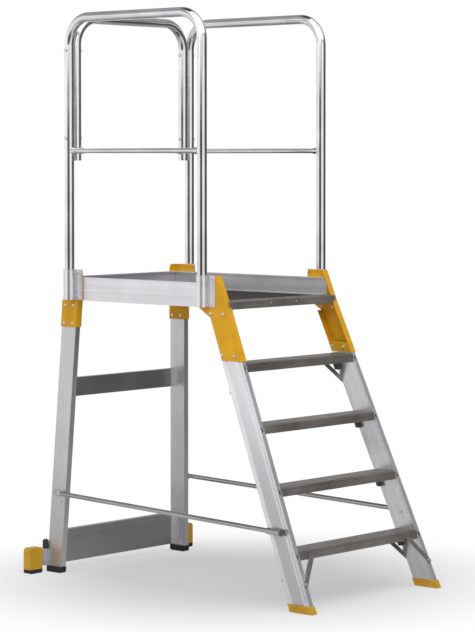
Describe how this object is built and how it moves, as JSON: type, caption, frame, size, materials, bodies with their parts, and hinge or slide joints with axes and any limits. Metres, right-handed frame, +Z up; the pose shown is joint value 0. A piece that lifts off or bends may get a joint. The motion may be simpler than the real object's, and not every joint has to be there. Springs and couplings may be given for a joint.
{
  "type": "podium step",
  "caption": "Aluminium podium step with a splayed ladder, a guarded platform, yellow corner brackets and telescopic outriggers at the rear.",
  "frame": {"origin": "on the floor, under the middle of the outline", "axes": "+Z up, -Y towards the person who climbs the treads, +X to that person's right"},
  "size_m": [0.9316, 1.4092, 2.195],
  "materials": {
    "aluminium": "satin",
    "polished_tube": "polished",
    "yellow_paint": "satin",
    "yellow_plastic": "matte",
    "rubber": "matte",
    "dark_plastic": "matte",
    "fasteners": "satin",
    "deck": "matte"
  },
  "bodies": {
    "frame": {"front_stile_left": "aluminium", "front_stile_right": "aluminium", "tread_1": "aluminium", "tread_2": "aluminium", "tread_3": "aluminium", "tread_4": "aluminium", "tread_cleats": "dark_plastic", "tread_braces": "aluminium", "brace_bolts": "fasteners", "front_shoe_left": "yellow_plastic", "front_shoe_right": "yellow_plastic", "front_bracket_left": "yellow_paint", "front_bracket_right": "yellow_paint", "front_bracket_bolts": "fasteners", "side_rail_left": "aluminium", "side_rail_right": "aluminium", "rear_toe_board": "aluminium", "front_nosing": "aluminium", "nosing_screws": "fasteners", "nosing_cleats": "yellow_paint", "deck_board": "deck", "post_socket_front_left": "aluminium", "post_socket_front_right": "aluminium", "post_socket_rear_left": "aluminium", "post_socket_rear_right": "aluminium", "socket_bolts": "fasteners", "rear_leg_left": "aluminium", "rear_leg_right": "aluminium", "rear_bracket_left": "yellow_paint", "rear_bracket_right": "yellow_paint", "rear_bracket_rivets": "fasteners", "mid_crossbar": "aluminium", "lower_crossbar": "aluminium", "crossbar_cleats": "aluminium", "cleat_rivets": "fasteners", "rear_foot_left": "rubber", "rear_foot_right": "rubber", "side_stay_left": "aluminium", "side_stay_right": "aluminium", "stay_sleeves": "aluminium", "stay_end_plugs": "dark_plastic", "stay_bolts": "fasteners", "outrigger_guide": "aluminium"},
    "guardrail": {"side_hoop_left": "polished_tube", "side_hoop_right": "polished_tube", "rear_hoop": "polished_tube", "knee_rail_left": "polished_tube", "knee_rail_right": "polished_tube", "knee_rail_rear": "polished_tube", "knee_rail_collars": "polished_tube", "hoop_bolts": "fasteners"},
    "outrigger_left": {"outrigger_bar_left": "aluminium", "outrigger_foot_left": "yellow_plastic", "outrigger_sole_left": "rubber"},
    "knob_left": {"clamp_knob_left": "dark_plastic"},
    "outrigger_right": {"outrigger_bar_right": "aluminium", "outrigger_foot_right": "yellow_plastic", "outrigger_sole_right": "rubber"},
    "knob_right": {"clamp_knob_right": "dark_plastic"}
  },
  "joints": [
    {"name": "guardrail_lift", "type": "slide", "parent": "frame", "child": "guardrail", "axis": [0, 0, 1], "range_m": [0, 0.13]},
    {"name": "outrigger_slide_left", "type": "slide", "parent": "frame", "child": "outrigger_left", "axis": [-1, 0, 0], "range_m": [-0.012, 0.2]},
    {"name": "outrigger_slide_right", "type": "slide", "parent": "frame", "child": "outrigger_right", "axis": [1, 0, 0], "range_m": [-0.012, 0.2]},
    {"name": "knob_turn_left", "type": "hinge", "parent": "frame", "child": "knob_left", "pos_m": [-0.36482, 0.68559, 0.1], "axis": [0, 0, 1], "range_deg": [-360, 360]},
    {"name": "knob_turn_right", "type": "hinge", "parent": "frame", "child": "knob_right", "pos_m": [0.36482, 0.68559, 0.1], "axis": [0, 0, 1], "range_deg": [-360, 360]}
  ]
}
